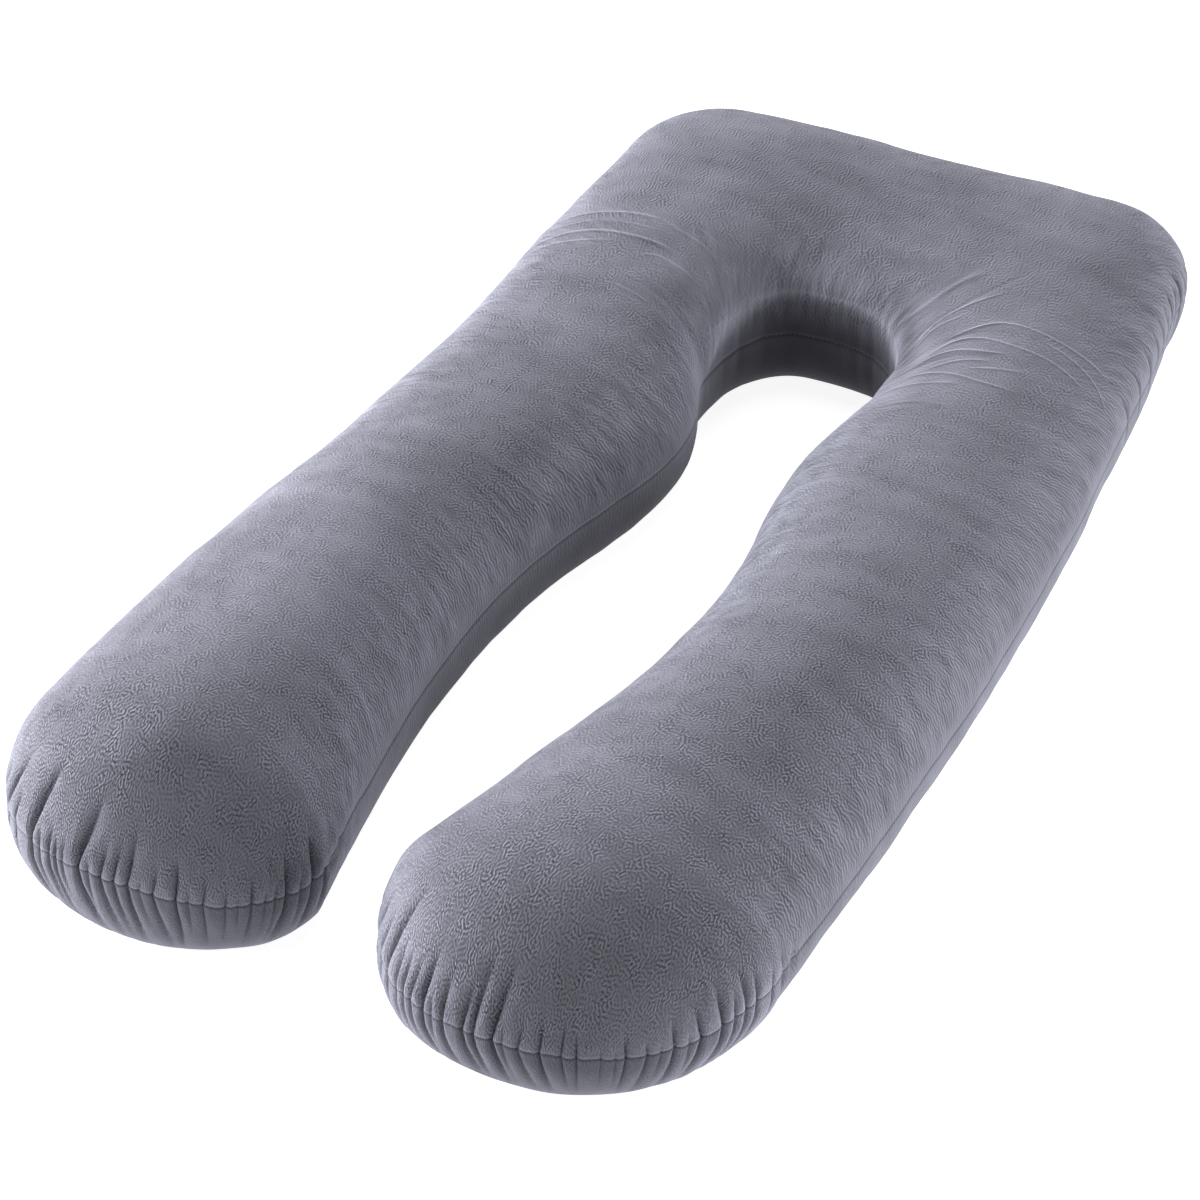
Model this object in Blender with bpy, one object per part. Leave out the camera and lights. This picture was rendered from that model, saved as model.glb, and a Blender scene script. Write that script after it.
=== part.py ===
"""U-shaped body pillow: two velvet panels sewn together all round and filled, in metres.

It lies on its back on the ground plane, the closed head end towards +Y and the two legs
towards -Y, with its origin under the middle of its own box. Each half is drawn in plan as
an outer and an inner seam line, and cross-sections between them carry the filled form.
"""

import bpy
import bmesh
import numpy as np

# Head end, shared by both halves
HEAD_Y = 0.8275  # outer seam at the middle of the head
HEAD_BOW = 0.0075  # how far the head's seam falls back towards the corners
HEAD_CROWN = 0.110  # crown above the seam at the middle of the head
CORNER_POWER = 2.2  # roundness of the head's corners: 2 is an ellipse, more is squarer
BIGHT_Y = 0.444  # inner seam at the middle of the head, the closed end of the gap
SEAM_Z = 0.091  # both seams run level, at this height

# The two halves of a soft filled thing never lie quite alike. Pairs are x and y, or y of
# the outer and of the inner seam. The width runs from the head's middle line to the outer
# seam at the shoulder. Crowns stand above the seam at corner, neck, thigh and tip, and a
# tip's two powers are for its outer and its inner side.
RIGHT = {
    "side": 1,
    "width": 0.3595,
    "corner": (0.113, 0.149),
    "outer_swell": 0.0525,
    "outer_end": 0.0465,
    "bight": (0.122, 0.151),
    "bight_power": 2.87,
    "neck": (0.103, 0.205),
    "belly": (0.115, -0.059),
    "thigh": (0.112, -0.334),
    "gap_end": 0.033,
    "tip_start": (-0.628, -0.685),
    "tip": 0.166,
    "tip_powers": (1.86, 2.10),
    "crowns": (0.106, 0.083, 0.098, 0.136),
}
LEFT = {
    "side": -1,
    "width": 0.356,
    "corner": (0.111, 0.151),
    "outer_swell": 0.020,
    "outer_end": 0.030,
    "bight": (0.078, 0.144),
    "bight_power": 2.69,
    "neck": (0.057, 0.224),
    "belly": (0.083, -0.082),
    "thigh": (0.092, -0.341),
    "gap_end": 0.039,
    "tip_start": (-0.633, -0.676),
    "tip": 0.144,
    "tip_powers": (2.00, 1.92),
    "crowns": (0.122, 0.083, 0.093, 0.150),
}

# Cross-sections from the middle of the head to the tip's start. Head sections are spaced
# along the corner and the bight, and leg sections meet the seams at these y.
HEAD_SECTIONS = (
    # share of the way to the corner's middle, share of the way round the bight
    (0.0, 0.0),
    (0.43, 0.30),
    (1.0, 0.62),
)
SHOULDER_Y = 0.469
BIGHT_END = 1.02
LEG_SECTIONS = (
    # outer y, inner y
    (0.229, 0.148),
    (-0.030, -0.048),
    (-0.315, -0.315),
)
CROWN_SECTIONS = (0, 2, 4, 5, 7)  # the sections whose crowns are given

# Powers of the sections' outlines: 2 is an ellipse, more is boxier
TOP_POWER = 2.09
TOP_POWER_HEAD = 2.50
TOP_POWER_TIP = 2.05
UNDER_POWER_OUTER = 2.48
UNDER_POWER_INNER = 3.23
UNDER_POWER_TIP = 2.88
HEAD_FADE = (0.38, 0.62)  # where along the half the head's boxier form gives way
SAG = 0.006  # how far the underside would reach below the ground that flattens it

# The seam's groove, and the gathers where the panels are eased round the ends
SEAM_DEPTH = 0.004
SEAM_REACH = 0.012  # how far above and below the seam its groove is felt
GATHER_DEPTH = 0.007
GATHER_REACH = 0.050  # how far above and below the seam a gather runs
GATHER_UNEVEN = 0.25  # share by which gathers differ in depth and in reach
GATHER_HELD = 0.7  # share of a gather's depth that the stitching holds flat
GATHER_ENDS = 0.25  # share of a gathered run over which its gathers die away
TIP_GATHERS = 24
CORNER_GATHERS = 6

# Mesh
ROWS = 6  # from a seam to the crown, or to the middle of the base
ROW_SPACING = 1.35  # above 1, rows are closer near the seam
COLUMNS_PER_GATHER = 3
HEAD_COLUMNS = 6
LEG_COLUMNS = 30
EDGE_STEPS = 40  # points in each stretch of a seam line, which the columns are read from
CORNER_STEPS = 50
SIDE_STEPS = 100
VELVET = (0.205, 0.203, 0.242, 1.0)


def spline(knots, values, at, level_start=False, level_end=False):
    """A cubic through the points, unbent at its ends unless it is to be level there."""
    count = len(knots)
    gaps = np.diff(knots)
    rises = np.diff(values) / gaps
    matrix = np.eye(count)
    target = np.zeros(count)
    for k in range(1, count - 1):
        matrix[k, k - 1 : k + 2] = gaps[k - 1], 2 * (gaps[k - 1] + gaps[k]), gaps[k]
        target[k] = 6 * (rises[k] - rises[k - 1])
    if level_start:
        matrix[0, :2] = 2 * gaps[0], gaps[0]
        target[0] = 6 * rises[0]
    if level_end:
        matrix[-1, -2:] = gaps[-1], 2 * gaps[-1]
        target[-1] = -6 * rises[-1]
    bends = np.linalg.solve(matrix, target)
    k = np.clip(np.searchsorted(knots, at) - 1, 0, count - 2)
    past = at - knots[k]
    slope = rises[k] - gaps[k] * (2 * bends[k] + bends[k + 1]) / 6
    curl = (bends[k + 1] - bends[k]) / (6 * gaps[k])
    return values[k] + past * (slope + past * (bends[k] / 2 + past * curl))


def fade(start, end, at):
    """0 before start, 1 after end, and a smooth step between."""
    share = np.clip((at - start) / (end - start), 0, 1)
    return share * share * (3 - 2 * share)


def distances(line):
    """How far along the line each of its points is."""
    return np.append(0, np.cumsum(np.linalg.norm(np.diff(line, axis=0), axis=1)))


def distance_at(line, y):
    """How far along a line it first reaches this y, on its way towards -Y."""
    return np.interp(-y, -line[:, 1], distances(line))


def quarter_turn(count):
    return np.linspace(0, np.pi / 2, count, endpoint=False)


def outer_seam(half):
    """Head edge, corner and outer side of one half, and how far along the corner begins,
    has its middle and ends."""
    across, along = half["corner"]
    edge = half["width"] - across
    shoulder = HEAD_Y - HEAD_BOW - along
    x = np.linspace(0, edge, EDGE_STEPS, endpoint=False)
    head = np.column_stack([x, HEAD_Y - HEAD_BOW * (x / edge) ** 2])
    turn = quarter_turn(CORNER_STEPS)
    corner = np.column_stack(
        [
            edge + across * np.sin(turn) ** (2 / CORNER_POWER),
            shoulder + along * np.cos(turn) ** (2 / CORNER_POWER),
        ]
    )
    down = np.linspace(0, 1, SIDE_STEPS)
    belly = 4 * half["outer_swell"] - 2 * half["outer_end"]
    swell = half["outer_end"] * down + belly * down * (1 - down)
    side = np.column_stack(
        [half["width"] + swell, shoulder + (half["tip_start"][0] - shoulder) * down]
    )
    line = np.vstack([head, corner, side])
    marks = EDGE_STEPS + np.array([0, CORNER_STEPS // 2, CORNER_STEPS])
    return line, distances(line)[marks]


def inner_seam(half):
    """Round end and inner side of the gap on one half, and the length of the round end."""
    reach, depth = half["bight"]
    power = 2 / half["bight_power"]
    level = BIGHT_Y - depth
    turn = quarter_turn(CORNER_STEPS)
    bight = np.column_stack(
        [reach * np.sin(turn) ** power, level + depth * np.cos(turn) ** power]
    )
    end = (half["gap_end"], half["tip_start"][1])
    x, y = np.transpose([(reach, level), half["neck"], half["belly"], half["thigh"], end])
    down = np.linspace(level, end[1], SIDE_STEPS)
    gap = np.column_stack([spline(-y, x, -down, level_start=True), down])
    line = np.vstack([bight, gap])
    return line, distances(line)[len(bight)]


def section_ties(half):
    """How far along the outer and the inner seam each cross-section meets them."""
    outer, (_, corner, _) = outer_seam(half)
    inner, bight = inner_seam(half)
    outer_ties = [share * corner for share, _ in HEAD_SECTIONS]
    outer_ties += [distance_at(outer, SHOULDER_Y)]
    outer_ties += [distance_at(outer, y) for y, _ in LEG_SECTIONS]
    outer_ties += [distances(outer)[-1]]
    inner_ties = [share * bight for _, share in HEAD_SECTIONS]
    inner_ties += [BIGHT_END * bight]
    inner_ties += [distance_at(inner, y) for _, y in LEG_SECTIONS]
    inner_ties += [distances(inner)[-1]]
    return np.array(outer_ties), np.array(inner_ties)


def spread(ties, at):
    """Distance along a seam at each place along the half, from 0 at its head to 1."""
    return spline(np.linspace(0, 1, len(ties)), ties, at)


def points_along(line, along):
    return np.column_stack([np.interp(along, distances(line), line[:, k]) for k in (0, 1)])


def cross_sections(half, at):
    """Outer seam point, inner seam point and crown height at each place along one half."""
    outer_ties, inner_ties = section_ties(half)
    knots = np.array(CROWN_SECTIONS) / (len(outer_ties) - 1)
    given = np.array([HEAD_CROWN, *half["crowns"]])
    crowns = spline(knots, given, at, level_start=True, level_end=True)
    outer = points_along(outer_seam(half)[0], spread(outer_ties, at))
    inner = points_along(inner_seam(half)[0], spread(inner_ties, at))
    return outer, inner, crowns


def row_angles():
    """Angles from the seam, at 0, to the crown or the base, at a quarter turn."""
    return np.pi / 2 * (np.arange(ROWS + 1) / ROWS) ** ROW_SPACING


def gather(place, count, height):
    """Inward depth of the gathers at a share of their run and a height from the seam."""
    number = np.round(place * count)
    depth = GATHER_DEPTH * (1 - GATHER_UNEVEN * (1 + np.sin(2.4 * number)) / 2)
    reach = GATHER_REACH * (1 - GATHER_UNEVEN * (1 + np.sin(1.7 * number)) / 2)
    fold = (1 + np.cos(2 * np.pi * place * count)) / 2
    ends = np.minimum(1, np.minimum(place, 1 - place) / GATHER_ENDS)
    close = 1 - GATHER_HELD * np.exp(-((height / SEAM_REACH) ** 2))
    return depth * fold * ends * close * np.exp(-((height / reach) ** 2))


def column(seam, spine, crown, powers, gathers):
    """One seam point's two columns of points: up to the crown, and down to the base.

    Powers are those of the upper and of the lower outline, and gathers is a place among
    them and their count, or None where the panels lie smooth.
    """
    outward = (seam - spine) / np.linalg.norm(seam - spine)
    sides = []
    for rise, power in ((crown, powers[0]), (-SEAM_Z - SAG, powers[1])):
        points = []
        for angle in row_angles():
            inward = np.cos(angle) ** (2 / power)
            height = np.sin(angle) ** (2 / power) * abs(rise)
            dent = SEAM_DEPTH * np.exp(-((height / SEAM_REACH) ** 2))
            if gathers:
                dent += gather(*gathers, height)
            plan = spine + (seam - spine) * inward - outward * dent * min(1, 3 * inward)
            points.append((*plan, max(0.0, SEAM_Z + np.copysign(height, rise))))
        sides.append(points)
    return sides


def ring(outer, inner, crown, power, gathers):
    """A closed cross-section: outer seam, crown, inner seam, base, and back."""
    spine = (outer + inner) / 2
    over, under = column(outer, spine, crown, (power, UNDER_POWER_OUTER), gathers)
    far_over, far_under = column(inner, spine, crown, (power, UNDER_POWER_INNER), None)
    return over[:-1] + far_over[:0:-1] + far_under[:-1] + under[:0:-1]


def ring_places(half):
    """Places of one half's cross-sections, closer at the corner, and the corner's ends."""
    _, (begins, _, ends) = outer_seam(half)
    trial = np.linspace(0, 1, 400)
    corner = np.interp([begins, ends], spread(section_ties(half)[0], trial), trial)
    runs = (
        np.linspace(0, corner[0], HEAD_COLUMNS, endpoint=False),
        np.linspace(*corner, CORNER_GATHERS * COLUMNS_PER_GATHER, endpoint=False),
        np.linspace(corner[1], 1, LEG_COLUMNS + 1),
    )
    return np.concatenate(runs), corner


def half_rings(half):
    """The cross-sections of one half, from the middle of the head to the tip's start."""
    at, (begins, ends) = ring_places(half)
    outer, inner, crowns = cross_sections(half, at)
    powers = TOP_POWER_HEAD + (TOP_POWER - TOP_POWER_HEAD) * fade(*HEAD_FADE, at)
    rings = []
    for k, place in enumerate((at - begins) / (ends - begins)):
        gathers = (place, CORNER_GATHERS) if 0 < place < 1 else None
        rings.append(ring(outer[k], inner[k], crowns[k], powers[k], gathers))
    return rings, (outer[-1], inner[-1], crowns[-1])


def tip_columns(half, outer, inner, crown):
    """The columns round a leg's rounded end, without the two that its last ring holds."""
    spine = (outer + inner) / 2
    across = outer - spine
    ahead = np.array([across[1], -across[0]]) / np.linalg.norm(across)
    count = TIP_GATHERS * COLUMNS_PER_GATHER
    columns = []
    for step in range(1, count):
        turn = np.pi * step / count
        power = 2 / half["tip_powers"][2 * step > count]
        sideways = np.copysign(abs(np.cos(turn)) ** power, np.cos(turn))
        seam = spine + across * sideways + ahead * half["tip"] * np.sin(turn) ** power
        end_on = np.sin(turn) ** 2
        under = UNDER_POWER_OUTER if sideways > 0 else UNDER_POWER_INNER
        powers = (
            TOP_POWER + (TOP_POWER_TIP - TOP_POWER) * end_on,
            under + (UNDER_POWER_TIP - under) * end_on,
        )
        columns.append(column(seam, spine, crown, powers, (step / count, TIP_GATHERS)))
    return columns


def mirrored(points, half):
    return [(x * half["side"], y, z) for x, y, z in points]


def close_tip(mesh, last_ring, columns, half):
    """Joins the tip's columns to the leg's last ring and to its crown and base points."""
    over, under = last_ring[: 2 * ROWS + 1], last_ring[2 * ROWS :] + last_ring[:1]
    crown, base = over[ROWS], under[ROWS]
    tops = [over[: ROWS + 1]]
    bottoms = [under[: ROWS - 1 : -1]]
    for top, bottom in columns:
        seam_and_up = [mesh.verts.new(p) for p in mirrored(top[:-1], half)]
        down = [mesh.verts.new(p) for p in mirrored(bottom[1:-1], half)]
        tops.append(seam_and_up + [crown])
        bottoms.append(seam_and_up[:1] + down + [base])
    tops.append(over[: ROWS - 1 : -1])
    bottoms.append(under[: ROWS + 1])
    for columns_of_points in (tops, bottoms):
        for near, far in zip(columns_of_points, columns_of_points[1:]):
            for row in range(ROWS - 1):
                mesh.faces.new((near[row], far[row], far[row + 1], near[row + 1]))
            mesh.faces.new((near[ROWS - 1], far[ROWS - 1], near[ROWS]))


def pillow_mesh():
    """The whole pillow: one run of rings from tip to tip, and the two closed tips."""
    mesh = bmesh.new()
    left_rings, left_end = half_rings(LEFT)
    right_rings, right_end = half_rings(RIGHT)
    run = [mirrored(points, LEFT) for points in left_rings[:0:-1]] + right_rings
    rings = [[mesh.verts.new(point) for point in points] for points in run]
    for near, far in zip(rings, rings[1:]):
        for k in range(4 * ROWS):
            mesh.faces.new((near[k], far[k], far[k - 1], near[k - 1]))
    close_tip(mesh, rings[0], tip_columns(LEFT, *left_end), LEFT)
    close_tip(mesh, rings[-1], tip_columns(RIGHT, *right_end), RIGHT)
    bmesh.ops.recalc_face_normals(mesh, faces=mesh.faces)
    return mesh


def centre_on_ground(mesh):
    """Puts the origin under the middle of the pillow's box."""
    points = np.array([vertex.co[:] for vertex in mesh.verts])
    middle = (points.min(axis=0) + points.max(axis=0)) / 2
    bmesh.ops.translate(mesh, verts=mesh.verts, vec=(-middle[0], -middle[1], 0))


def velvet():
    material = bpy.data.materials.new("grey_velvet")
    material.use_nodes = True
    shader = material.node_tree.nodes["Principled BSDF"]
    shader.inputs["Base Color"].default_value = VELVET
    shader.inputs["Roughness"].default_value = 0.9
    shader.inputs["Metallic"].default_value = 0.0
    return material


def make_pillow():
    mesh = pillow_mesh()
    centre_on_ground(mesh)
    data = bpy.data.meshes.new("pillow")
    mesh.to_mesh(data)
    mesh.free()
    data.shade_smooth()
    data.materials.append(velvet())
    pillow = bpy.data.objects.new("pillow", data)
    bpy.context.scene.collection.objects.link(pillow)


for thing in list(bpy.data.objects):
    bpy.data.objects.remove(thing)
make_pillow()
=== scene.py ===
import math

import bpy
import numpy as np
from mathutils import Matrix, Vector, noise


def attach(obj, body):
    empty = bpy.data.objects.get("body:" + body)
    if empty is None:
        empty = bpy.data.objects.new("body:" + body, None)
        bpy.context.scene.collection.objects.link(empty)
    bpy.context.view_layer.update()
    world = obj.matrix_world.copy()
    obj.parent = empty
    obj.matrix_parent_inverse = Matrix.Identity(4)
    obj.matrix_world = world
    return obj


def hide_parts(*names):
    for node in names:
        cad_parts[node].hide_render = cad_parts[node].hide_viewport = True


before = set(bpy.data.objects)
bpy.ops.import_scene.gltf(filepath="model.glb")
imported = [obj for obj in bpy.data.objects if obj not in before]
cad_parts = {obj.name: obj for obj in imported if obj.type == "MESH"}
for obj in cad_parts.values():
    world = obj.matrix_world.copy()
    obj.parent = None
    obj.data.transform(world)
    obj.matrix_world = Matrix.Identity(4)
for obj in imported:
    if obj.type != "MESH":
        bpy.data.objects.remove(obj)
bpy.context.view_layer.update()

# The cut of the cover, in metres: plan lines of its seam, heights and section powers.
# It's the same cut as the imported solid's, drawn finer here.
cut = {
    "headY": 0.8275,
    "headBow": 0.0075,
    "headCrown": 0.110,  # crown above the seam
    "cornerPower": 2.2,
    "bightY": 0.444,
    "seamZ": 0.091,
    "sag": 0.006,  # the filling would sink this far below the ground that flattens it
    "topPower": 2.09,
    "headPower": 2.5,
    "tipPower": 2.05,
    "underOuterPower": 2.48,
    "underInnerPower": 3.23,
    "underTipPower": 2.88,
    "headFade": (0.38, 0.62),
    "headSections": ((0.0, 0.0), (0.43, 0.30), (1.0, 0.62)),
    "shoulderY": 0.469,
    "bightEnd": 1.02,
    "legSections": ((0.229, 0.148), (-0.030, -0.048), (-0.315, -0.315)),
    "crownSections": (0, 2, 4, 5, 7),
    "wall": 0.115,  # how much steeper the wall at the head of the gap stands
    "wallFade": (0.34, 0.47),
    "wallBlend": 0.3,  # share of that over which the wall rounds off
    "rimPower": 30,  # how sharply it turns over
    "restEase": 0.004,  # height over which the cloth bends up from the ground
}
rightHalf = {
    "side": 1,
    "width": 0.3595,  # middle line of the head to the outer seam, at the shoulder
    "corner": (0.113, 0.149),
    "swell": 0.0525,
    "sideEnd": 0.0465,
    "bight": (0.122, 0.151),
    "bightPower": 2.87,
    "gap": ((0.103, 0.205), (0.115, -0.059), (0.112, -0.334)),
    "gapEnd": 0.033,
    "tipStart": (-0.628, -0.685),
    "tip": 0.166,
    "roundness": (1.86, 2.10),  # of the tip, on its outer and inner side
    "crowns": (0.106, 0.083, 0.098, 0.136),
    "closeColumns": ((0.325, 0.505, 0.0014),),  # from, to, spacing
}
leftHalf = {
    "side": -1,
    "width": 0.356,
    "corner": (0.111, 0.151),
    "swell": 0.020,
    "sideEnd": 0.030,
    "bight": (0.078, 0.144),
    "bightPower": 2.69,
    "gap": ((0.057, 0.224), (0.083, -0.082), (0.092, -0.341)),
    "gapEnd": 0.039,
    "tipStart": (-0.633, -0.676),
    "tip": 0.144,
    "roundness": (2.00, 1.92),
    "crowns": (0.122, 0.083, 0.093, 0.150),
    "closeColumns": ((0.325, 0.485, 0.0013),),
}

# How finely the cloth is meshed, in metres and in steps
meshing = {
    "firstRow": 0.0012,  # beside the seam
    "growth": 1.2,
    "topRow": 0.011,
    "underRow": 0.018,
    "topLength": 0.235,  # cloth from the seam to the crown and to the base
    "underLength": 0.215,
    "rimRow": 0.0016,  # rows where the wall of the gap's head turns over
    "rim": (0.050, 0.064),
    "column": 0.0076,
    "cornerColumn": 0.0042,
    "tipColumns": 768,
    "halvings": (0.17, 0.36, 0.56, 0.72, 0.86),  # shares of the way to a tip's crown
    "lineSteps": 400,
    "sectionSteps": 240,
    "sectionBunching": 1.3,  # of those steps, towards the seam
    "trialColumns": 3000,
    "blended": 41,  # trial columns over which the spacing changes
}


def splineThrough(knots, values, at, levelStart=False, levelEnd=False):
    # a cubic through the points, with straight ends unless they are to be level
    count = len(knots)
    gaps = np.diff(knots)
    rises = np.diff(values) / gaps
    matrix = np.eye(count)
    target = np.zeros(count)
    for k in range(1, count - 1):
        matrix[k, k - 1 : k + 2] = gaps[k - 1], 2 * (gaps[k - 1] + gaps[k]), gaps[k]
        target[k] = 6 * (rises[k] - rises[k - 1])
    if levelStart:
        matrix[0, :2] = 2 * gaps[0], gaps[0]
        target[0] = 6 * rises[0]
    if levelEnd:
        matrix[-1, -2:] = gaps[-1], 2 * gaps[-1]
        target[-1] = -6 * rises[-1]
    bends = np.linalg.solve(matrix, target)
    k = np.clip(np.searchsorted(knots, at) - 1, 0, count - 2)
    past = at - knots[k]
    slope = rises[k] - gaps[k] * (2 * bends[k] + bends[k + 1]) / 6
    bend = bends[k] / 2 + past * (bends[k + 1] - bends[k]) / (6 * gaps[k])
    return values[k] + past * (slope + past * bend)


def fade(start, end, at):
    share = np.clip((at - start) / (end - start), 0, 1)
    return share * share * (3 - 2 * share)


def band(limits, at):
    # 0 to 1 over the first two limits, back over the last two; a falling pair goes from 1 to 0
    rise = fade(*limits[:2], at)
    return rise * fade(*limits[:1:-1], at) if len(limits) > 2 else rise


def bell(offset, width=1.0):
    # 1 in the middle, a third of that at its width
    return np.exp(-((offset / width) ** 2))


def alongLine(line):
    return np.append(0, np.cumsum(np.linalg.norm(np.diff(line, axis=0), axis=1)))


def pointsOn(line, along):
    return np.column_stack([np.interp(along, alongLine(line), line[:, k]) for k in (0, 1)])


def firstAt(line, y):
    return np.interp(-y, -line[:, 1], alongLine(line))


def outerLine(half):
    # head edge, corner and outer side in plan, and where the corner begins, turns and ends
    steps = meshing["lineSteps"]
    across, along = half["corner"]
    edge = half["width"] - across
    shoulder = cut["headY"] - cut["headBow"] - along
    x = np.linspace(0, edge, steps, endpoint=False)
    head = np.column_stack([x, cut["headY"] - cut["headBow"] * (x / edge) ** 2])
    turn = np.linspace(0, math.pi / 2, steps, endpoint=False)
    power = 2 / cut["cornerPower"]
    corner = [edge + across * np.sin(turn) ** power, shoulder + along * np.cos(turn) ** power]
    down = np.linspace(0, 1, 2 * steps)
    swell = half["sideEnd"] * down + (4 * half["swell"] - 2 * half["sideEnd"]) * down * (1 - down)
    side = np.column_stack([half["width"] + swell, shoulder + (half["tipStart"][0] - shoulder) * down])
    line = np.vstack([head, np.column_stack(corner), side])
    return line, alongLine(line)[[steps, steps + steps // 2, 2 * steps]]


def innerLine(half):
    # round end and inner side of the gap in plan, and the length of the round end
    steps = meshing["lineSteps"]
    reach, depth = half["bight"]
    level = cut["bightY"] - depth
    turn = np.linspace(0, math.pi / 2, steps, endpoint=False)
    power = 2 / half["bightPower"]
    bight = np.column_stack([reach * np.sin(turn) ** power, level + depth * np.cos(turn) ** power])
    end = (half["gapEnd"], half["tipStart"][1])
    x, y = np.transpose([(reach, level), *half["gap"], end])
    down = np.linspace(level, end[1], 2 * steps)
    line = np.vstack([bight, np.column_stack([splineThrough(-y, x, -down, levelStart=True), down])])
    return line, alongLine(line)[steps]


def tiesOf(half):
    # distances along the outer and the inner line where the cross-sections meet them
    outer, (_, corner, _) = outerLine(half)
    inner, bight = innerLine(half)
    outerTies = [share * corner for share, _ in cut["headSections"]]
    outerTies += [firstAt(outer, y) for y in (cut["shoulderY"], *(y for y, _ in cut["legSections"]))]
    innerTies = [share * bight for _, share in cut["headSections"]] + [cut["bightEnd"] * bight]
    innerTies += [firstAt(inner, y) for _, y in cut["legSections"]]
    return [np.append(ties, alongLine(line)[-1]) for ties, line in ((outerTies, outer), (innerTies, inner))]


def onTies(ties, at):
    return splineThrough(np.linspace(0, 1, len(ties)), ties, at)


def columnPlaces(half):
    # places of the cross-sections, from 0 at the middle of the head to 1 at the tip
    trial = np.linspace(0, 1, meshing["trialColumns"])
    along = onTies(tiesOf(half)[0], trial)
    _, (begins, _, ends) = outerLine(half)
    spacing = np.full(len(trial), meshing["column"])
    spacing[(along > begins) & (along < ends)] = meshing["cornerColumn"]
    for first, last, close in half["closeColumns"]:
        spacing[(trial > first) & (trial < last)] = close
    blend = np.ones(meshing["blended"]) / meshing["blended"]
    spacing = np.convolve(np.pad(spacing, meshing["blended"] // 2, mode="edge"), blend, mode="valid")
    counted = np.append(0, np.cumsum(np.diff(along) / spacing[1:]))
    count = int(round(counted[-1]))
    return np.interp(np.linspace(0, counted[-1], count + 1), counted, trial)


def rowShares(length, largest, rim=(0, 0)):
    # shares of the way from the seam to the crown, closest beside the seam and at a rim
    steps = [meshing["firstRow"]]
    while sum(steps) < length:
        steps.append(min(steps[-1] * meshing["growth"], largest))
        if rim[0] < sum(steps) < rim[1]:
            steps[-1] = meshing["rimRow"]
    return np.append(0, np.cumsum(steps)) / sum(steps)


def quarter(seam, spine, rise, power, shares, wall):
    # points from each seam point to the crown or the base, and their distance on the cloth;
    # behind x, y and z each carries its place in the pattern and the way the pile runs
    turn = math.pi / 2 * np.linspace(0, 1, meshing["sectionSteps"]) ** meshing["sectionBunching"]
    span = np.linalg.norm(seam - spine, axis=1)[:, None]
    inward = np.cos(turn) ** (2 / power[:, None])
    height = np.sin(turn) ** (2 / power[:, None]) * np.abs(rise)[:, None]
    if wall is not None:
        steep = 1 + wall[:, None]
        squared = (np.maximum(inward * steep, 1e-3) ** -cut["rimPower"] + 1) ** (-1 / cut["rimPower"])
        blend = fade(0, cut["wallBlend"] * cut["wall"], wall)[:, None]
        inward += blend * (squared / squared[:, :1] - inward)
    cloth = np.hypot(np.diff(inward * span, axis=1), np.diff(height, axis=1)).cumsum(axis=1)
    cloth = np.hstack([np.zeros((len(cloth), 1)), cloth])
    wanted = cloth[:, -1:] * shares
    plan = np.array([np.interp(w, c, i) for w, c, i in zip(wanted, cloth, inward)])
    lift = np.array([np.interp(w, c, h) for w, c, h in zip(wanted, cloth, height)])
    flat = spine[:, None, :] + (seam - spine)[:, None, :] * plan[:, :, None]
    z = cut["seamZ"] + np.sign(rise)[:, None] * lift
    way = np.broadcast_to(((seam - spine) / np.maximum(span, 1e-9))[:, None, :], flat.shape)
    return np.dstack([flat, z, way, way]), wanted


def laidFlat(quarters, spine):
    # the pattern's places: the cloth's own distance from the crown, straight out from it
    (over, overReach), (under, underReach) = quarters
    crown = overReach[:, -1:]
    for points, away in ((over, crown - overReach), (under, crown + underReach)):
        points[:, :, 3:5] = spine[:, None, :] + points[:, :, 5:7] * away[:, :, None]
    return quarters


topRows = rowShares(meshing["topLength"], meshing["topRow"], meshing["rim"])
underRows = rowShares(meshing["underLength"], meshing["underRow"])


def columns(outer, spine, crown, powers, wall=None):
    # both quarters of each column: over the seam and under it
    over = quarter(outer, spine, crown, powers[0], topRows, wall)
    base = np.full(len(outer), -cut["seamZ"] - cut["sag"])
    under = quarter(outer, spine, base, powers[1], underRows, None)
    return laidFlat((over, under), spine)


def mirrorOf(half):
    # turns a quarter's points over to the half's own side
    return np.array([half["side"], 1, 1, half["side"], 1, half["side"], 1])


def ringsOf(half):
    # cross-sections of one half as closed rings: place, distances, and points
    at = columnPlaces(half)
    outerTies, innerTies = tiesOf(half)
    knots = np.array(cut["crownSections"]) / (len(outerTies) - 1)
    given = np.array([cut["headCrown"], *half["crowns"]])
    crown = splineThrough(knots, given, at, levelStart=True, levelEnd=True)
    outerRun, innerRun = onTies(outerTies, at), onTies(innerTies, at)
    outer, inner = pointsOn(outerLine(half)[0], outerRun), pointsOn(innerLine(half)[0], innerRun)
    spine = (outer + inner) / 2
    power = cut["headPower"] + (cut["topPower"] - cut["headPower"]) * fade(*cut["headFade"], at)
    level = np.ones(len(at))
    wall = cut["wall"] * (1 - fade(*cut["wallFade"], at))
    over, under = columns(outer, spine, crown, (power, level * cut["underOuterPower"]))
    farOver, farUnder = columns(inner, spine, crown, (power, level * cut["underInnerPower"]), wall)
    return {
        "at": at,
        "outerRun": outerRun,
        "innerRun": innerRun,
        "quarters": (over, farOver, farUnder, under),
        "last": (outer[-1], inner[-1], crown[-1], power[-1]),
    }


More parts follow.
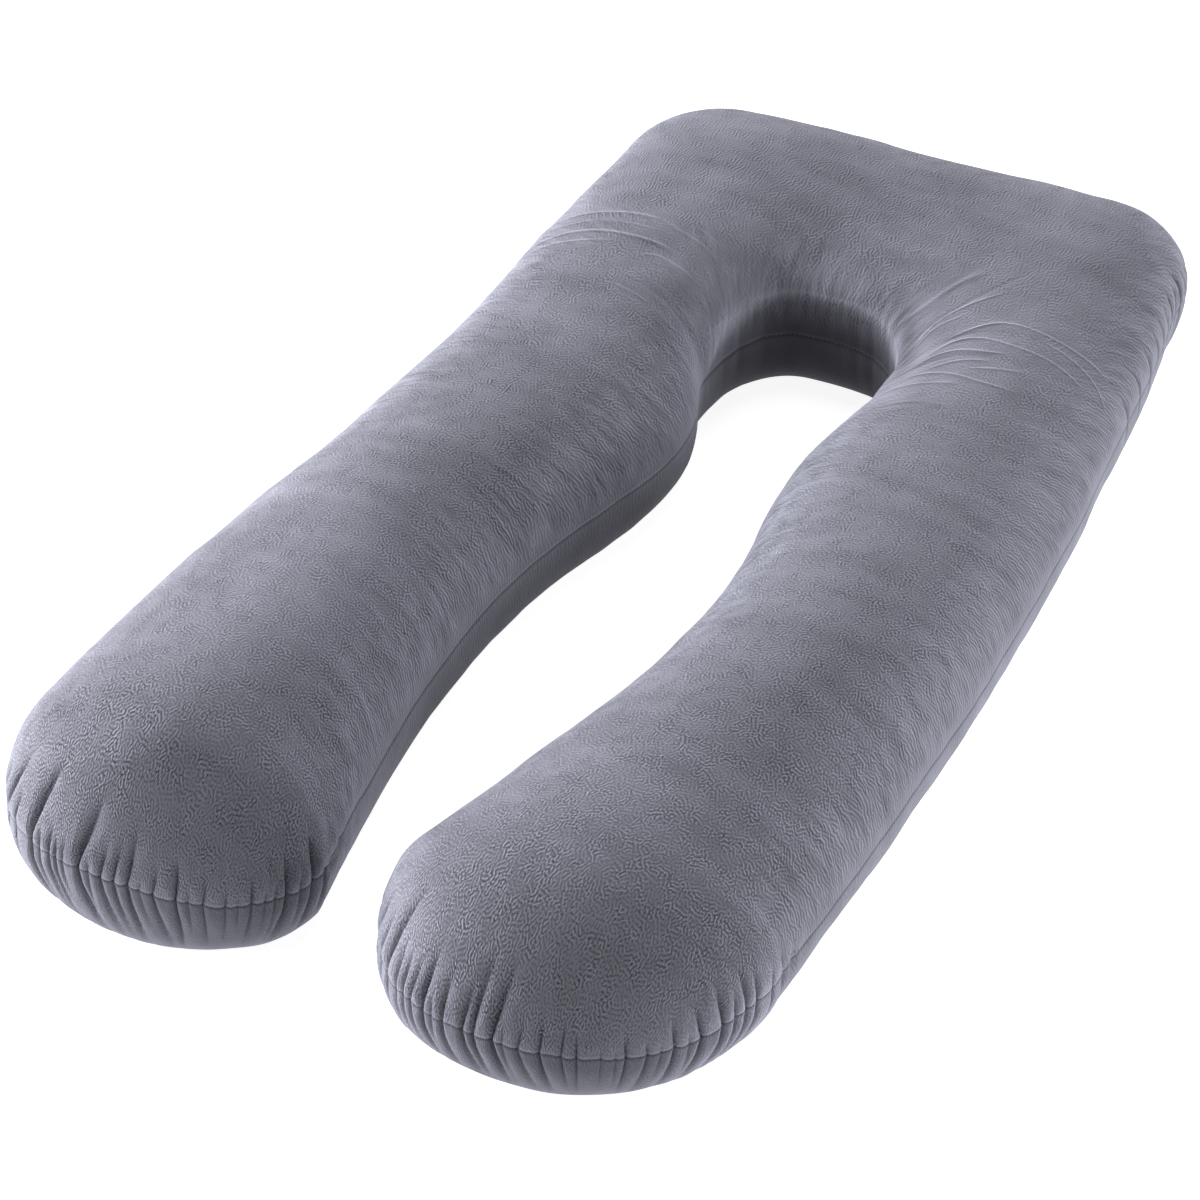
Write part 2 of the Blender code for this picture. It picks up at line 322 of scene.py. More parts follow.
def tipOf(half, outer, inner, crown, power):
    # columns round a leg's end, from its outer to its inner seam, without those two
    spine = (outer + inner) / 2
    across = outer - spine
    ahead = np.array([across[1], -across[0]]) / np.linalg.norm(across)
    turn = math.pi * np.arange(1, meshing["tipColumns"]) / meshing["tipColumns"]
    round2 = 2 / np.where(turn < math.pi / 2, *half["roundness"])
    sideways = np.copysign(np.abs(np.cos(turn)) ** round2, np.cos(turn))
    seam = spine + sideways[:, None] * across + (np.sin(turn) ** round2 * half["tip"])[:, None] * ahead
    endOn = np.sin(turn) ** 2
    under = np.where(sideways > 0, cut["underOuterPower"], cut["underInnerPower"])
    powers = (power + (cut["tipPower"] - power) * endOn, under + (cut["underTipPower"] - under) * endOn)
    level = np.ones(len(turn))
    over, below = columns(seam, level[:, None] * spine, level * crown, powers)
    run = alongLine(np.vstack([outer, seam, inner]))
    return {"run": run[1:-1], "length": run[-1], "quarters": (over, below)}


class Cloth:
    # points of the cover with what each knows: its way round the seam and from it
    def __init__(self):
        self.points, self.faces = [], []
        self.known = {name: [] for name in ("run", "reach", "across", "at", "pace")}
        self.count = 0

    def add(self, points, **known):
        points = np.reshape(points, (-1, 7))
        self.points.append(points)
        for name, values in known.items():
            self.known[name].append(np.broadcast_to(np.ravel(values), len(points)))
        numbers = np.arange(self.count, self.count + len(points))
        self.count += len(points)
        return numbers

    def finished(self):
        known = {name: np.concatenate(values) for name, values in self.known.items()}
        points, known["pattern"], known["pile"] = np.split(np.vstack(self.points), (3, 5), axis=1)
        return points, known


def closeTip(cloth, half, tip, ring, start, flip):
    # joins a tip's columns to the last ring of its leg
    top, count = len(topRows) - 1, meshing["tipColumns"]
    run = half["side"] * (start + tip["run"])
    across = 0.5 + 0.5 * np.cos(math.pi * np.arange(1, count) / count)
    over, under = tip["quarters"]
    grids = []
    for sign, shares, line, (points, reach) in (
        (1, topRows, ring[: 2 * top + 1], over),
        (-1, underRows, np.append(ring[2 * top :], ring[0])[::-1], under),
    ):
        rows = len(shares) - 1
        levels = [sum(share > limit for limit in meshing["halvings"]) for share in shares[:-1]]
        grid = np.full((count + 1, rows + 1), -1)
        grid[0], grid[count] = line[: rows + 1], line[::-1][: rows + 1]
        first = len(grids)  # the lower quarter shares the seam's row
        if first:
            grid[1:count, 0] = grids[0][1][1:count, 0]
        for row in range(first, rows):
            kept = np.arange(2 ** levels[row], count, 2 ** levels[row])
            grid[kept, row] = cloth.add(
                points[kept - 1, row] * mirrorOf(half),
                run=run[kept - 1],
                reach=sign * reach[kept - 1, row],
                across=across[kept - 1],
                at=1.0,
                pace=1.0,
            )
        grids.append((levels, grid))
    for (levels, grid), turned in zip(grids, (flip, not flip)):
        faces = []
        for row in range(len(levels) - 1):
            step, far = 2 ** levels[row], 2 ** levels[row + 1]
            for j in range(0, count, far):
                near, (left, right) = grid[j : j + far + 1 : step, row], grid[[j, j + far], row + 1]
                if far == step:
                    faces.append((*near, right, left))
                else:
                    faces += [(*near[:2], left), (*near[1:], right), (near[1], right, left)]
        last = grid[:: 2 ** levels[-1], -2]
        faces += [(near, far, grid[0, -1]) for near, far in zip(last, last[1:])]
        cloth.faces += [face[::-1] if turned else face for face in faces]
    return grids[0][1][:, 0]


def ringKnown(half, rings):
    # ring points in order round the section: outer seam, crown, inner seam, base
    over, farOver, farUnder, under = rings["quarters"]
    top, low = len(topRows) - 1, len(underRows) - 1
    parts = (
        (over, 1, slice(0, top), "outerRun"),
        (farOver, 1, slice(top, 0, -1), "innerRun"),
        (farUnder, -1, slice(0, low), "innerRun"),
        (under, -1, slice(low, 0, -1), "outerRun"),
    )
    points = np.hstack([quarterPoints[:, rows] for (quarterPoints, _), _, rows, _ in parts])
    reach = np.hstack([sign * reachOf[:, rows] for (_, reachOf), sign, rows, _ in parts])
    legs = rings["legLength"]
    runs = {"outerRun": rings["outerRun"], "innerRun": legs - rings["innerRun"]}
    run = np.hstack([runs[name][:, None] + 0 * reachOf[:, rows] for (_, reachOf), _, rows, name in parts])
    overAcross = (1 - topRows[:top] / 2, topRows[top:0:-1] / 2)
    across = np.concatenate([*overAcross, -underRows[:low] / 2, -1 + underRows[low:0:-1] / 2])
    return points * mirrorOf(half), half["side"] * run, reach, np.tile(across, (len(points), 1))


def makeForm():
    # the filled shape with a seam all round, before it is gathered
    cloth = Cloth()
    ring = 2 * (len(topRows) + len(underRows) - 2)
    halves = []
    for half in (leftHalf, rightHalf):
        rings = ringsOf(half)
        tip = tipOf(half, *rings["last"])
        rings["legLength"] = rings["outerRun"][-1] + tip["length"] + rings["innerRun"][-1]
        halves.append((half, rings, tip, *ringKnown(half, rings)))
    (left, leftRings, leftTip, *leftKnown), (right, rightRings, rightTip, *rightKnown) = halves
    points, run, reach, across = [np.concatenate([a[:0:-1], b]) for a, b in zip(leftKnown, rightKnown)]
    at = np.concatenate([-leftRings["at"][:0:-1], rightRings["at"]])
    pace = np.linalg.norm(np.gradient(points[:, :, :3], at, axis=0), axis=2)
    known = {"run": run, "reach": reach, "across": across, "at": np.repeat(at, ring), "pace": pace}
    numbers = cloth.add(points, **known).reshape(-1, ring)
    for near, far in zip(numbers, numbers[1:]):
        cloth.faces += list(zip(near, far, np.roll(far, 1), np.roll(near, 1)))
    leftSeam = closeTip(cloth, left, leftTip, numbers[0], leftRings["outerRun"][-1], False)
    rightSeam = closeTip(cloth, right, rightTip, numbers[-1], rightRings["outerRun"][-1], True)
    inner = 2 * (len(topRows) - 1)
    seam = np.concatenate([numbers[:, 0], rightSeam[1:-1], numbers[::-1, inner], leftSeam[::-1][1:-1]])
    total = leftRings["legLength"] + rightRings["legLength"]
    points, known = cloth.finished()
    return points, cloth.faces, known, seam, total


def groundClip(z):
    # flat where it rests, with a short soft bend up to the free cloth
    ease = cut["restEase"]
    return np.where(z < -ease, 0, np.where(z < ease, (z + ease) ** 2 / (4 * ease), z))


def addObject(name, data):
    made = bpy.data.objects.new(name, data)
    bpy.context.scene.collection.objects.link(made)
    return made


def meshOf(name, points, faces):
    mesh = bpy.data.meshes.new(name)
    mesh.from_pydata(points.tolist(), [], [[int(k) for k in face] for face in faces])
    mesh.validate()
    mesh.shade_smooth()
    return mesh


def normalsOf(mesh):
    normals = np.zeros(len(mesh.vertices) * 3, np.float32)
    mesh.vertex_normals.foreach_get("vector", normals)
    return normals.reshape(-1, 3).astype(float)


# How every fold of the two tables below ends
foldEnds = {
    "turned": 0.06,  # metres from a tip's middle to where its folds lean fully
    "drawnWidths": 3,
    "fadesFrom": 0.2,  # share of its length
}

# Folds that the gathered seam draws in: place along the seam from the head's middle (m),
# depth, and how far it runs above and below the seam (mm)
gathers = {
    "width": 0.0015,
    "widening": 0.055,  # a fold opens out as it leaves the seam
    "sharpness": 1.0,
    "darkest": 0.004,  # a fold of this depth gets the full painted shade
    "atSeam": 0.60,  # share of the depth that is left at the stitching
    "heldIn": 0.007,
    "deeper": 1.7,
    "lean": 0.04,
    # middle of the tip, slant of every fold, and lean to the middle above and below the seam
    "leans": {"rightTip": (1.98, 0, 0.12, 0.28), "leftTip": (2.14, 0.13, 0.05, 0.28)},
    "lower": (1.8, 0.75),  # the folds below the seam are drawn so much longer and shallower
    "seed": 7,
    "rightTip": (
        (1.735, 2.5, 30, 20), (1.758, 3.0, 35, 25), (1.782, 2.6, 30, 25), (1.808, 3.6, 45, 35),
        (1.823, 3.8, 60, 40), (1.837, 3.0, 35, 40), (1.851, 4.8, 55, 45), (1.874, 5.0, 45, 40),
        (1.887, 1.8, 18, 25), (1.901, 4.0, 38, 40), (1.914, 1.6, 15, 20), (1.927, 2.8, 22, 40),
        (1.947, 3.6, 35, 35), (1.957, 1.6, 15, 30), (1.970, 1.8, 18, 25), (1.992, 3.6, 36, 35),
        (2.006, 3.2, 50, 30), (2.026, 4.4, 42, 40), (2.046, 3.2, 38, 40), (2.061, 1.8, 25, 35),
        (2.072, 6.0, 85, 35), (2.091, 4.4, 90, 40), (2.103, 4.6, 60, 40), (2.126, 4.2, 60, 45),
        (2.139, 1.8, 30, 25), (2.152, 6.0, 75, 40), (2.170, 3.6, 65, 35), (2.182, 3.6, 60, 35),
        (2.195, 3.2, 65, 35), (2.216, 6.0, 110, 35), (2.238, 3.0, 70, 30), (2.262, 3.5, 70, 25),
        (2.290, 2.5, 50, 25),
    ),
    "leftTip": (
        (1.760, 2.2, 40, 20), (1.790, 2.6, 50, 20), (1.820, 2.8, 60, 25), (1.846, 3.0, 60, 25),
        (1.872, 5.4, 105, 25), (1.898, 2.6, 60, 30), (1.931, 7.0, 125, 45), (1.946, 2.4, 35, 40),
        (1.961, 3.4, 45, 35), (1.971, 3.4, 35, 50), (1.981, 2.0, 40, 25), (2.000, 6.4, 105, 50),
        (2.013, 2.2, 22, 30), (2.026, 4.2, 55, 50), (2.040, 4.2, 65, 45), (2.054, 5.6, 85, 50),
        (2.066, 2.0, 22, 30), (2.079, 3.8, 45, 50), (2.101, 5.4, 60, 45), (2.113, 2.2, 22, 25),
        (2.127, 3.6, 40, 40), (2.148, 3.0, 26, 30), (2.160, 1.6, 18, 20), (2.173, 3.8, 40, 35),
        (2.186, 2.0, 20, 25), (2.196, 2.4, 28, 40), (2.209, 5.4, 50, 40), (2.224, 2.4, 28, 30),
        (2.240, 5.4, 60, 40), (2.258, 3.4, 45, 35), (2.278, 3.8, 55, 35), (2.304, 2.8, 42, 30),
        (2.327, 3.2, 45, 30), (2.352, 2.4, 35, 25),
    ),
    "rightCorner": (
        (0.352, 2.0, 40, 15), (0.375, 2.5, 50, 20), (0.398, 4.2, 60, 25), (0.420, 2.5, 75, 20),
        (0.442, 5.0, 85, 30), (0.463, 2.5, 65, 20), (0.486, 3.5, 75, 30), (0.512, 2.0, 85, 20),
        (0.545, 2.5, 90, 25), (0.580, 2.0, 75, 20), (0.620, 2.4, 80, 25), (0.668, 1.8, 80, 25),
        (0.722, 2.0, 70, 20),
    ),
    "leftCorner": (
        (0.330, 2.2, 50, 20), (0.356, 2.8, 70, 25), (0.381, 2.2, 60, 20), (0.409, 3.6, 90, 30),
        (0.434, 2.4, 60, 25), (0.466, 3.0, 80, 25), (0.502, 2.0, 60, 20), (0.548, 2.2, 80, 25),
        (0.603, 1.8, 70, 20),
    ),
}

# Soft folds that stand in the wall at the head of the gap, as in the table above
wallFolds = {
    "width": 0.0080,
    "widening": 0.02,
    "sharpness": 1.7,
    "atSeam": 0.9,
    "heldIn": 0.006,
    "deeper": 0.7,
    "lean": 0.05,
    "lower": (1.0, 1.0),
    "seed": 11,
    "rightWall": (
        (3.285, 2.0, 48, 60), (3.318, 2.6, 50, 70), (3.352, 1.8, 46, 50), (3.390, 2.8, 50, 70),
        (3.421, 1.6, 44, 50), (3.462, 2.4, 50, 70), (3.505, 1.8, 46, 60),
    ),
    "leftWall": (
        (3.262, 0.5, 48, 60), (3.297, 0.9, 50, 70), (3.330, 1.6, 44, 50), (3.369, 2.2, 50, 70),
        (3.404, 2.8, 50, 60), (3.447, 1.6, 46, 50), (3.486, 2.6, 50, 70),
    ),
}

# Fine raised creases and soft troughs across the pillow: height and width (mm), then the
# way each takes as share of the way over the top and place between head (0) and tip (1)
creases = {
    "ends": 0.2,  # share of its way over which a crease dies out
    "formed": 0.4,  # share of their height that is in the cloth's own shape
    "formedWider": 1.6,
    "drawnWidths": (2.6, 3.6),  # how far out the material paints a crease's highlight and shade, fading between the two
    "brushedWidths": 6,
    "right": (
        (1.8, 1.8, ((0.28, 0.394), (0.40, 0.385), (0.58, 0.412), (0.71, 0.435), (0.85, 0.458))),
        (1.5, 1.7, ((0.57, 0.418), (0.70, 0.444), (0.80, 0.466), (0.88, 0.490))),
        (1.8, 1.8, ((0.23, 0.416), (0.33, 0.402), (0.48, 0.421), (0.63, 0.447), (0.81, 0.484))),
        (1.5, 1.7, ((0.21, 0.424), (0.32, 0.420), (0.43, 0.431), (0.52, 0.440))),
        (1.1, 1.6, ((0.28, 0.447), (0.38, 0.443), (0.47, 0.449))),
        (1.0, 1.6, ((0.41, 0.459), (0.50, 0.462), (0.60, 0.470))),
        (1.5, 1.8, ((0.19, 0.452), (0.34, 0.462), (0.45, 0.479), (0.63, 0.502))),
        (0.9, 1.8, ((0.18, 0.474), (0.30, 0.479), (0.44, 0.489))),
        (1.0, 2.0, ((0.17, 0.362), (0.22, 0.342), (0.30, 0.332), (0.42, 0.336))),
        (0.8, 3.0, ((0.10, 0.244), (0.17, 0.270), (0.26, 0.272), (0.37, 0.283))),
        (0.8, 2.2, ((0.17, 0.366), (0.24, 0.352), (0.33, 0.355))),
        (0.7, 2.4, ((0.24, 0.516), (0.35, 0.519), (0.48, 0.529))),
        (-0.9, 4.0, ((0.18, 0.435), (0.34, 0.431), (0.50, 0.448), (0.64, 0.476))),
        (-0.9, 3.5, ((0.24, 0.404), (0.34, 0.393), (0.48, 0.408), (0.64, 0.432))),
        (-0.8, 4.0, ((0.14, 0.350), (0.30, 0.325), (0.48, 0.312))),
    ),
    "left": (
        (
            2.4, 2.2,
            ((0.30, 0.386), (0.41, 0.405), (0.50, 0.420), (0.61, 0.436), (0.72, 0.453), (0.93, 0.486)),
        ),
        (2.0, 2.0, ((0.39, 0.368), (0.50, 0.390), (0.63, 0.415), (0.78, 0.436), (0.95, 0.458))),
        (1.4, 1.8, ((0.43, 0.392), (0.52, 0.408), (0.64, 0.429))),
        (1.5, 1.8, ((0.52, 0.433), (0.66, 0.457), (0.76, 0.470), (0.92, 0.494))),
        (1.2, 1.8, ((0.55, 0.410), (0.61, 0.420), (0.66, 0.430), (0.84, 0.452))),
        (1.4, 1.8, ((0.20, 0.322), (0.30, 0.350), (0.36, 0.366), (0.45, 0.380))),
        (1.2, 1.8, ((0.22, 0.302), (0.28, 0.323), (0.36, 0.350))),
        (1.5, 1.8, ((0.22, 0.388), (0.32, 0.406), (0.39, 0.418), (0.45, 0.437))),
        (1.0, 1.8, ((0.31, 0.474), (0.39, 0.478), (0.46, 0.481))),
        (-1.0, 3.5, ((0.20, 0.402), (0.32, 0.419), (0.44, 0.446))),
        (-1.0, 3.5, ((0.17, 0.452), (0.32, 0.455), (0.44, 0.470))),
        (-0.8, 4.0, ((0.15, 0.475), (0.30, 0.486), (0.46, 0.496))),
        (-0.9, 4.0, ((0.16, 0.352), (0.32, 0.378), (0.46, 0.394))),
    ),
}

# How the seam draws in the cloth beside it, in metres
seamShape = {
    "groove": 0.0014,
    "grooveWidth": 0.0013,
    "groovePower": 1.5,  # how sharp its edges are
    "drawnIn": 0.0004,
    "drawnWidth": 0.010,
    "lip": 0.0003,  # the top panel's edge stands a little proud
    "cusp": 0.15,  # how far a gather lifts the seam, as a share of its depth
    "lipAt": 0.0045,
    "scallop": 0.0016,  # how far the seam wavers up and down
    "scallopLength": 0.014,
    "scallopWidth": 0.012,
    "scallopTips": (1.66, 1.80, 2.28, 2.40),
    "scallopElsewhere": 0.15,
    "seed": 3,
    "liftWidth": 0.060,
    # how far the seam runs above the height it is cut at: place along it, metres
    "rightLift": (
        (0.34, 0), (0.44, 0.012), (0.60, 0.017), (0.90, 0.008), (1.30, 0), (1.72, 0), (1.82, 0.005),
        (1.86, -0.001), (1.89, -0.007), (1.95, -0.010), (2.00, -0.007), (2.07, -0.004), (2.12, -0.007),
        (2.16, -0.011), (2.20, -0.015), (2.28, -0.008), (2.36, 0),
    ),
    "leftLift": (
        (1.76, 0), (1.92, 0.007), (1.98, 0.012), (2.00, 0.015), (2.04, 0.014), (2.06, 0.009),
        (2.10, 0.002), (2.14, -0.005), (2.18, -0.006), (2.22, -0.009), (2.25, -0.004), (2.30, 0),
    ),
}

# The filling's unevenness, in metres, and the broad dents: x, y, radius, depth
filling = {
    "lumps": ((0.17, 0.0030), (0.065, 0.0012), (0.028, 0.00045)),
    "plump": 0.0014,  # how far the cloth swells between gathers
    "plumpTips": (1.66, 1.76, 2.32, 2.42),
    "plumpFrom": (0.002, 0.014),
    "plumpTo": (0.045, 0.0135),
    "rimLine": 0.0008,  # how far the wall's rim stands up
    "rimReach": 0.057,
    "rimWidth": 0.0035,
    "dents": ((0.0, 0.79, 0.08, 0.003), (0.118, 0.342, 0.035, 0.012)),
    "free": (0.002, 0.022),  # heights over which the cloth gets free of the ground
}


def wavering(run, total, spacing, seed):
    # smooth random values from -1 to 1 along the closed seam
    count = int(round(total / spacing))
    values = np.random.default_rng(seed).uniform(-1, 1, count)
    place = np.mod(run, total) / total * count
    k = np.floor(place).astype(int)
    share = fade(0, 1, place - k)
    return values[k % count] * (1 - share) + values[(k + 1) % count] * share


def foldsDrawn(shape, names, run, reach, total):
    # how far each point is drawn in by a table's folds
    drawn = np.zeros(len(run))
    away = np.abs(reach)
    random = np.random.default_rng(shape["seed"])
    width = shape["width"] + shape["widening"] * away
    held = shape["atSeam"] + (1 - shape["atSeam"]) * fade(0, shape["heldIn"], away)
    longer, shallower = shape["lower"]
    held *= shape["deeper"] / 1000 * (1 - (1 - shallower) * fade(0, shape["heldIn"], -reach))
    for side, name in zip((1, -1), names):
        for place, depth, up, down in shape[name]:
            middle, slant, above, below = shape.get("leans", {}).get(name, (0, 0, 0, 0))
            inward = np.clip((middle - place) / foldEnds["turned"], -1, 1)
            turned = np.where(reach > 0, above * inward + slant, below * inward)
            lean = random.normal() * shape["lean"] + turned
            offset = side * run - place - lean * away
            offset = np.abs(offset - total * np.round(offset / total)) / width
            length = np.where(reach > 0, up, longer * down) / 1000
            near = (offset < foldEnds["drawnWidths"]) & (away < length)
            across = np.exp(-(offset[near] ** shape["sharpness"]))
            ended = fade(foldEnds["fadesFrom"], 1, away[near] / length[near])
            drawn[near] += depth * held[near] * across * (1 - ended)
    return drawn


def creasesRaised(known):
    # how far the creases stand up, and what the material needs to paint their highlight and shade
    # finely: the way to the nearest crease, in its widths, and how high it is there
    at, across = known["at"], known["across"]
    raised, nearest = np.zeros(len(at)), np.full(len(at), np.inf)
    known["off"], known["crease"], known["creased"] = np.zeros((3, len(at)))
    for side, name in ((1, "right"), (-1, "left")):
        for height, width, way in creases[name]:
            shares, places = np.transpose(way)
            share = np.clip(across, shares[0], shares[-1])
            along = (share - shares[0]) / (shares[-1] - shares[0])
            offset = (side * at - splineThrough(shares, places, share)) * known["pace"] * 1000 / width
            inside = (across > shares[0]) & (across < shares[-1])
            alive = inside * fade(0, creases["ends"], along) * fade(0, creases["ends"], 1 - along)
            if height < 0:
                raised += height * alive / 1000 * bell(offset)
                continue
            raised += creases["formed"] * height * alive / 1000 * bell(offset, creases["formedWider"])
            known["creased"] = np.maximum(known["creased"], alive * bell(offset, creases["brushedWidths"]))
            offset = np.where(alive > 0, offset, np.inf)
            nearer = np.abs(offset) < nearest
            nearest = np.where(nearer, np.abs(offset), nearest)
            known["off"][nearer] = offset[nearer]
            drawn = height * alive * (1 - fade(*creases["drawnWidths"], np.abs(offset)))
            known["crease"][nearer] = drawn[nearer]
    return raised


def besideSeam(run, reach, total):
    # how far the seam draws the cloth in, and how far it strays up or down
    away = np.abs(reach)
    drawn = seamShape["groove"] * np.exp(-((away / seamShape["grooveWidth"]) ** seamShape["groovePower"]))
    drawn += seamShape["drawnIn"] * bell(away, seamShape["drawnWidth"])
    drawn -= seamShape["lip"] * bell(reach - seamShape["lipAt"], seamShape["grooveWidth"])
    stray = seamShape["scallop"] * wavering(run, total, seamShape["scallopLength"], seamShape["seed"])
    elsewhere = seamShape["scallopElsewhere"]
    stray *= elsewhere + (1 - elsewhere) * band(seamShape["scallopTips"], np.abs(run))
    lift = np.zeros(len(run))
    for side, name in ((1, "rightLift"), (-1, "leftLift")):
        places, lifts = np.transpose(seamShape[name])
        lift += np.where(side * run > 0, np.interp(np.abs(run), places, lifts, left=0, right=0), 0)
    return drawn, stray * bell(away, seamShape["scallopWidth"]) + lift * bell(away, seamShape["liftWidth"])


def lumpsOf(points):
    raised = np.zeros(len(points))
    for size, height in filling["lumps"]:
        raised += height * np.array([noise.noise(Vector(point) / size) for point in points])
    for x, y, radius, depth in filling["dents"]:
        raised -= depth * bell(points[:, 0] - x, radius) * bell(points[:, 1] - y, radius)
    return raised


# Painted shade inside the gap: how dark the cloth is made at each reach in the wall at its head and along
# the legs
gapShade = {
    "wall": (
        (-0.110, 1.00), (-0.080, 0.94), (-0.040, 0.87), (-0.020, 0.82), (-0.008, 0.75), (0, 0.80),
        (0.006, 0.84), (0.012, 0.83), (0.018, 0.77), (0.024, 0.72), (0.030, 0.63), (0.036, 0.57),
        (0.050, 0.44),
    ),
    "legs": ((-0.060, 0.92), (-0.030, 0.77), (-0.010, 0.58), (0, 0.38), (0.020, 0.15), (0.060, 0)),
    # the rim of the wall: place along the seam, how high it is, how softly it turns, share of painted shade
    "leftRim": (
        (3.25, 0.004, 0.003, 0.7), (3.28, 0.033, 0.020, 0.75), (3.325, 0.050, 0.028, 0.8),
        (3.38, 0.054, 0.012, 0.95), (3.45, 0.054, 0.005, 1),
    ),
    "rightRim": (
        (3.36, 0.054, 0.030, 1), (3.43, 0.054, 0.022, 1), (3.48, 0.054, 0.010, 1), (3.52, 0.054, 0.005, 1),
    ),
    "legRun": (2.30, 2.62),  # where the shade sets in along the seam, on the legs and at the wall
    "wallRun": (3.16, 3.30),
    "belowSeam": (0.004, -0.004),  # where the rim's share gives way to full shade
    "rightShade": 0.12,  # more painted shade on the right of the wall, and where
    "rightRun": (3.52, 3.44),
    # a painted highlight along the rim of the wall
    "rimLight": 0.5,
    "rimAbove": 0.003,
    "rimWidth": (1 / 3, 0.0016),  # of its painted light line: as a share of its softness, and at least
    "rimFaint": (0.6, (3.48, 3.42)),  # how much fainter it is on the right, and where
}


def shadeOf(run, reach):
    # the painted shade inside the gap, and the painted light line along the rim of its wall
    along, right = np.abs(run), run > 0
    wall = fade(*gapShade["wallRun"], along)
    rims = []
    for name in ("leftRim", "rightRim"):
        places, *values = np.transpose(gapShade[name])
        rims.append([np.interp(along, places, value) for value in values])
    limit, soft, share = (np.where(run < 0, *values) for values in zip(*rims))
    shade = np.interp(reach, *np.transpose(gapShade["wall"]))
    shade += gapShade["rightShade"] * right * band(gapShade["rightRun"], along)
    share += (1 - share) * band(gapShade["belowSeam"], reach)
    dark = wall * share * np.minimum(shade, 1) * (1 - fade(limit - soft, limit, reach))
    gap = fade(*gapShade["legRun"], along) * np.interp(reach, *np.transpose(gapShade["legs"]))
    fainter, faintRun = gapShade["rimFaint"]
    softShare, least = gapShade["rimWidth"]
    offset = (reach - limit - gapShade["rimAbove"]) / np.maximum(soft * softShare, least)
    light = gapShade["rimLight"] * wall * (1 - fainter * right * band(faintRun, along))
    return np.maximum(dark, gap), light * bell(offset)


def gatheredCover(points, normals, known, total):
    # the cover with its seam drawn in, its gathers, its creases and the filling's lumps
    run, reach = known["run"], known["reach"]
    drawn, stray = besideSeam(run, reach, total)
    folds = foldsDrawn(gathers, ("rightTip", "leftTip"), run, reach, total)
    folds += foldsDrawn(gathers, ("rightCorner", "leftCorner"), run, reach, total)
    walls = foldsDrawn(wallFolds, ("rightWall", "leftWall"), run, reach, total)
    away, along = np.abs(reach), np.abs(run)
    plump = filling["plump"] * band(filling["plumpTips"], along)
    plump *= band(filling["plumpFrom"], away) * band(filling["plumpTo"], away)
    wall = fade(*gapShade["wallRun"], along)
    rim = filling["rimLine"] * wall * bell(reach - filling["rimReach"], filling["rimWidth"])
    out = plump + rim + creasesRaised(known) + lumpsOf(points) - drawn - folds - walls
    lifted = points + normals * (out * fade(*filling["free"], points[:, 2]))[:, None]
    lifted[:, 2] += stray + seamShape["cusp"] * folds * bell(reach, seamShape["scallopWidth"])
    # how much painted shade each fold gets, the painted shade inside the gap, and the painted light line
    # along its wall's rim
    known["fold"] = np.clip(folds / gathers["darkest"], 0, 1)
    known["wall"], known["ridge"] = shadeOf(run, reach)
    return lifted


print("cutting and filling the pillow")
points, faces, known, seamRow, seamLength = makeForm()
middle = (points.min(axis=0) + points.max(axis=0)) / 2
points -= (middle[0], middle[1], 0)
points[:, 2] = groundClip(points[:, 2])
pillowMesh = meshOf("pillow_cover", points, faces)
print("points", len(points), "faces", len(faces), "seam", round(seamLength, 3))

print("gathering the seam")
points = gatheredCover(points, normalsOf(pillowMesh), known, seamLength)
points[:, 2] = np.maximum(points[:, 2], 0)
pillowMesh.vertices.foreach_set("co", points.astype(np.float32).ravel())
pillowMesh.update()
pillowCover = addObject("pillow_cover", pillowMesh)


def addNode(tree, kind, settings, inputs):
    # an input is given by its name or identifier, and is a socket or a plain value
    made = tree.nodes.new(kind)
    for name, value in settings.items():
        setattr(made, name, value)
    for name, value in inputs.items():
        socket = next(s for s in made.inputs if name in (s.identifier, s.name))
        if isinstance(value, bpy.types.NodeSocket):
            tree.links.new(value, socket)
        else:
            socket.default_value = value
    return made


def operator(operation):
    return lambda first, second: first.shader.math(operation, first, second)


class Socket:
    # a shader value that Python's operators work on, each adding a Math node
    def __init__(self, shader, socket):
        self.shader, self.socket = shader, socket

    __add__ = __radd__ = operator("ADD")
    __sub__ = operator("SUBTRACT")
    __mul__ = __rmul__ = operator("MULTIPLY")
    __truediv__ = operator("DIVIDE")
    __pow__ = operator("POWER")

    def __rsub__(self, other):
        return self.shader.math("SUBTRACT", other, self)

    def bell(self, middle, width):
        offset = (self - middle) / width
        return self.shader.math("EXPONENT", offset * offset * -1)

    def between(self, low, high):
        # 0 below low, 1 above high, smooth between
        inputs = {"Value": self, "From Min": low, "From Max": high}
        return self.shader.node("ShaderNodeMapRange", {"interpolation_type": "SMOOTHSTEP"}, inputs)


